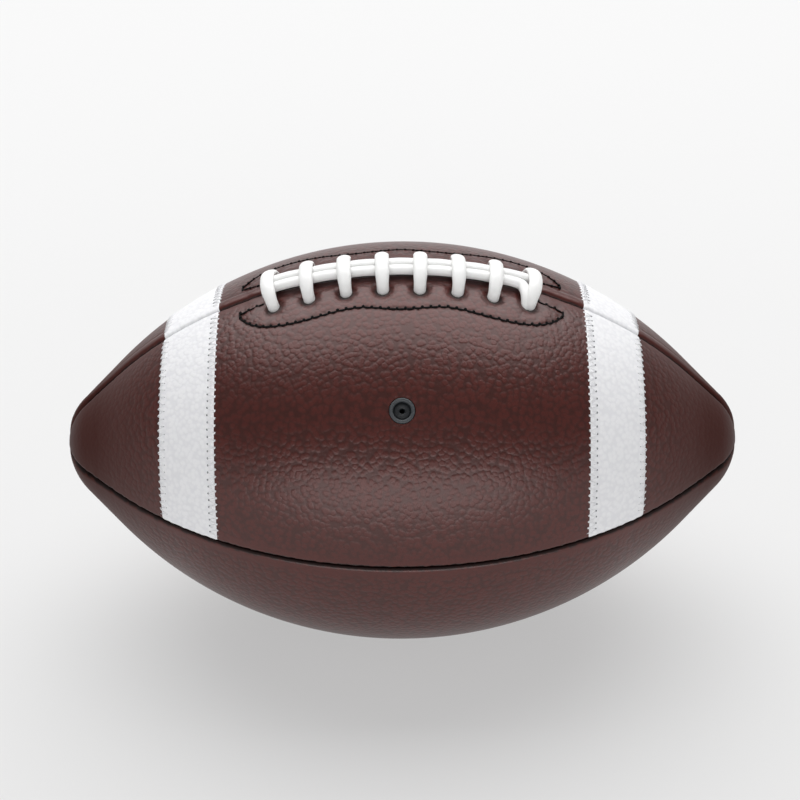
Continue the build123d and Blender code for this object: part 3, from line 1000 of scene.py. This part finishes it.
def makeValve():
    top = ball["bellyRadius"] - valve["sink"]
    floor = top - valve["recessDepth"]
    bottom = top - valve["length"]
    lip = valve["lip"]
    ring = [(valve["core"], bottom), (valve["radius"], bottom), (valve["radius"], top - lip)]
    for turn in np.linspace(0, math.pi / 2, valve["lipSteps"])[1:]:
        ring.append((valve["radius"] - lip + lip * math.cos(turn), top - lip + lip * math.sin(turn)))
    for turn in np.linspace(math.pi / 2, math.pi, valve["lipSteps"]):
        ring.append((valve["recess"] + lip + lip * math.cos(turn), top - lip + lip * math.sin(turn)))
    ring.append((valve["recess"] - valve["overlap"], floor + valve["recessFoot"]))
    ring.append((valve["core"], floor - valve["overlap"]))
    points, faces = spun(ring + ring[:1], valveFoot, valveAxis, valve["ringSides"])
    piece = addPiece("valveRing", points, faces[:-2], rubbers["mouldedValveRubber"])
    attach(piece, "root")
    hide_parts("valve_body")
    core = [(valve["needle"], bottom), (valve["core"], bottom), (valve["core"], floor)]
    core += [(valve["needle"] + beyond, floor - depth) for beyond, depth in valve["coreDish"]]
    points, faces = spun(core + core[:1], valveFoot, valveAxis, valve["coreSides"])
    piece = addPiece("valveCore", points, faces[:-2], rubbers["mouldedCoreRubber"])
    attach(piece, "root")
    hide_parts("valve_core")


makeValve()
print("valve made")

# inner pieces keep their solids and get their own finish
innerFinish = {
    "lining": liningCloth,
    "facing": splits["splitLeather"],
    "tongue": splits["splitLeather"],
    "bladder": rubbers["dippedBladderRubber"],
    "thread": threads["waxedBrownThread"],
}
for nodeName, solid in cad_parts.items():
    for word, finish in innerFinish.items():
        if word in nodeName and not solid.hide_render:
            solid.data.materials.clear()
            solid.data.materials.append(finish)
print("inner pieces finished")

# stage: pale floor, soft light and the camera of the photograph
stage = {
    "floorHalf": 6.0,  # m
    "seenWhite": "#fafafa",  # what the camera sees of the floor, more with the distance
    "shadowFill": 0.45,  # share of plain white that the camera sees near the ball
    "fadeFrom": 0.3,  # m from the ball, where the floor starts to fade to plain white
    "fadeTo": 1.0,
    "surroundColour": "#ffffff",
    "room": 0.24,  # level of the dim room
    "paper": 0.95,  # white paper round the set, as the camera and mirrors see it
    "paperTop": 0.08,  # sine of the height above the horizon where it starts to fade
    "paperEnd": 0.2,
}
floorLook = {"colour": "#dadada", "roughness": 0.9, "ior": 1.45}  # matt emulsion paint, with no reflections
camera = {
    "distance": 0.9,  # m
    "elevation": 37.2,  # degrees
    "roll": 0.39,  # degrees
    "lens": 94.7,  # mm
    "sensor": 36.0,  # mm
    "pixels": 800.0,
    "across": 2.3,  # shift of the picture in pixels
    "down": 40.0,
    "near": 0.01,  # m
}
lamps = {  # m and W
    "topSoftbox": {"place": (0.0, 0.8, 1.46), "aim": (0, 0, 0.08), "size": (2.6, 1.9), "power": 43.0},
    "frontSoftbox": {"place": (0.0, -1.7, 0.36), "aim": (0, 0, 0.08), "size": (2.4, 0.6), "power": 13.0},
}


def raySeen(tree):  # 1 for what the camera, mirrors and glass see
    ray = addNode(tree, "ShaderNodeLightPath")
    seen = addNode(tree, "ShaderNodeMath", {"operation": "ADD"},
                   {0: ray.outputs["Is Camera Ray"], 1: ray.outputs["Is Glossy Ray"]})
    seen = addNode(tree, "ShaderNodeMath", {"operation": "ADD", "use_clamp": True},
                   {0: seen.outputs["Value"], 1: ray.outputs["Is Transmission Ray"]})
    return seen.outputs["Value"]


def makeFloor():  # the camera and mirrors see part of the paint as plain white, which softens the shadow
    half = stage["floorHalf"] / mm
    points = [(-half, -half, 0), (half, -half, 0), (half, half, 0), (-half, half, 0)]
    material, tree, shader, place = newMaterial("paintedFloor", floorLook)
    far = addNode(tree, "ShaderNodeVectorMath", {"operation": "LENGTH"}, {0: place})
    fill = addNode(tree, "ShaderNodeMapRange",
                   {"From Min": stage["fadeFrom"], "From Max": stage["fadeTo"],
                    "To Min": stage["shadowFill"], "To Max": 1.0},
                   {"Value": far.outputs["Value"]})
    share = addNode(tree, "ShaderNodeMath", {"operation": "MULTIPLY"},
                    {0: raySeen(tree), 1: fill.outputs["Result"]})
    white = addNode(tree, "ShaderNodeEmission", {"Color": linearColour(stage["seenWhite"]), "Strength": 1.0})
    mixed = addNode(tree, "ShaderNodeMixShader", {},
                    {0: share.outputs["Value"], 1: shader.outputs["BSDF"], 2: white.outputs["Emission"]})
    tree.links.new(mixed.outputs["Shader"], tree.nodes["Material Output"].inputs["Surface"])
    floor = addPiece("floor", points, [(0, 1, 2, 3)], material, smooth=False)


def makeLamp(name, look):
    light = bpy.data.lights.new(name, "AREA")
    light.shape = "RECTANGLE"
    light.size, light.size_y = look["size"]
    light.energy = look["power"]
    lamp = bpy.data.objects.new(name, light)
    lamp.location = look["place"]
    lamp.rotation_euler = (Vector(look["aim"]) - Vector(look["place"])).to_track_quat("-Z", "Y").to_euler()
    bpy.context.scene.collection.objects.link(lamp)


def makeWorld():  # a dim room, with white paper low all round that the camera and mirrors see
    world = bpy.data.worlds.new("studio")
    world.use_nodes = True
    tree = world.node_tree
    background = tree.nodes["Background"]
    background.inputs["Color"].default_value = linearColour(stage["surroundColour"])
    way = addNode(tree, "ShaderNodeTexCoord")
    parts = addNode(tree, "ShaderNodeSeparateXYZ", {}, {"Vector": way.outputs["Generated"]})
    paper = addNode(tree, "ShaderNodeMapRange",
                    {"From Min": stage["paperTop"], "From Max": stage["paperEnd"],
                     "To Min": stage["paper"], "To Max": stage["room"]},
                    {"Value": parts.outputs["Z"]})
    level = addNode(tree, "ShaderNodeMix", {2: stage["room"]}, {0: raySeen(tree), 3: paper.outputs["Result"]})
    tree.links.new(level.outputs[0], background.inputs["Strength"])
    bpy.context.scene.world = world


def makeCamera():
    up = math.radians(camera["elevation"])
    target = Vector((0, 0, ball["bellyRadius"] * mm))
    back = Vector((0, -math.cos(up), math.sin(up)))
    data = bpy.data.cameras.new("photoCamera")
    data.lens = camera["lens"]
    data.sensor_width = camera["sensor"]
    data.shift_x = -camera["across"] / camera["pixels"]
    data.shift_y = camera["down"] / camera["pixels"]
    data.clip_start = camera["near"]
    eye = bpy.data.objects.new("photoCamera", data)
    turn = (-back).to_track_quat("-Z", "Y").to_matrix().to_4x4()
    roll = Matrix.Rotation(-math.radians(camera["roll"]), 4, "Z")
    eye.matrix_world = Matrix.Translation(target + back * camera["distance"]) @ turn @ roll
    bpy.context.scene.collection.objects.link(eye)
    bpy.context.scene.camera = eye


makeFloor()
for lampName, lampLook in lamps.items():
    makeLamp(lampName, lampLook)
makeWorld()
makeCamera()
bpy.context.scene.view_settings.view_transform = "Standard"
print("stage made")
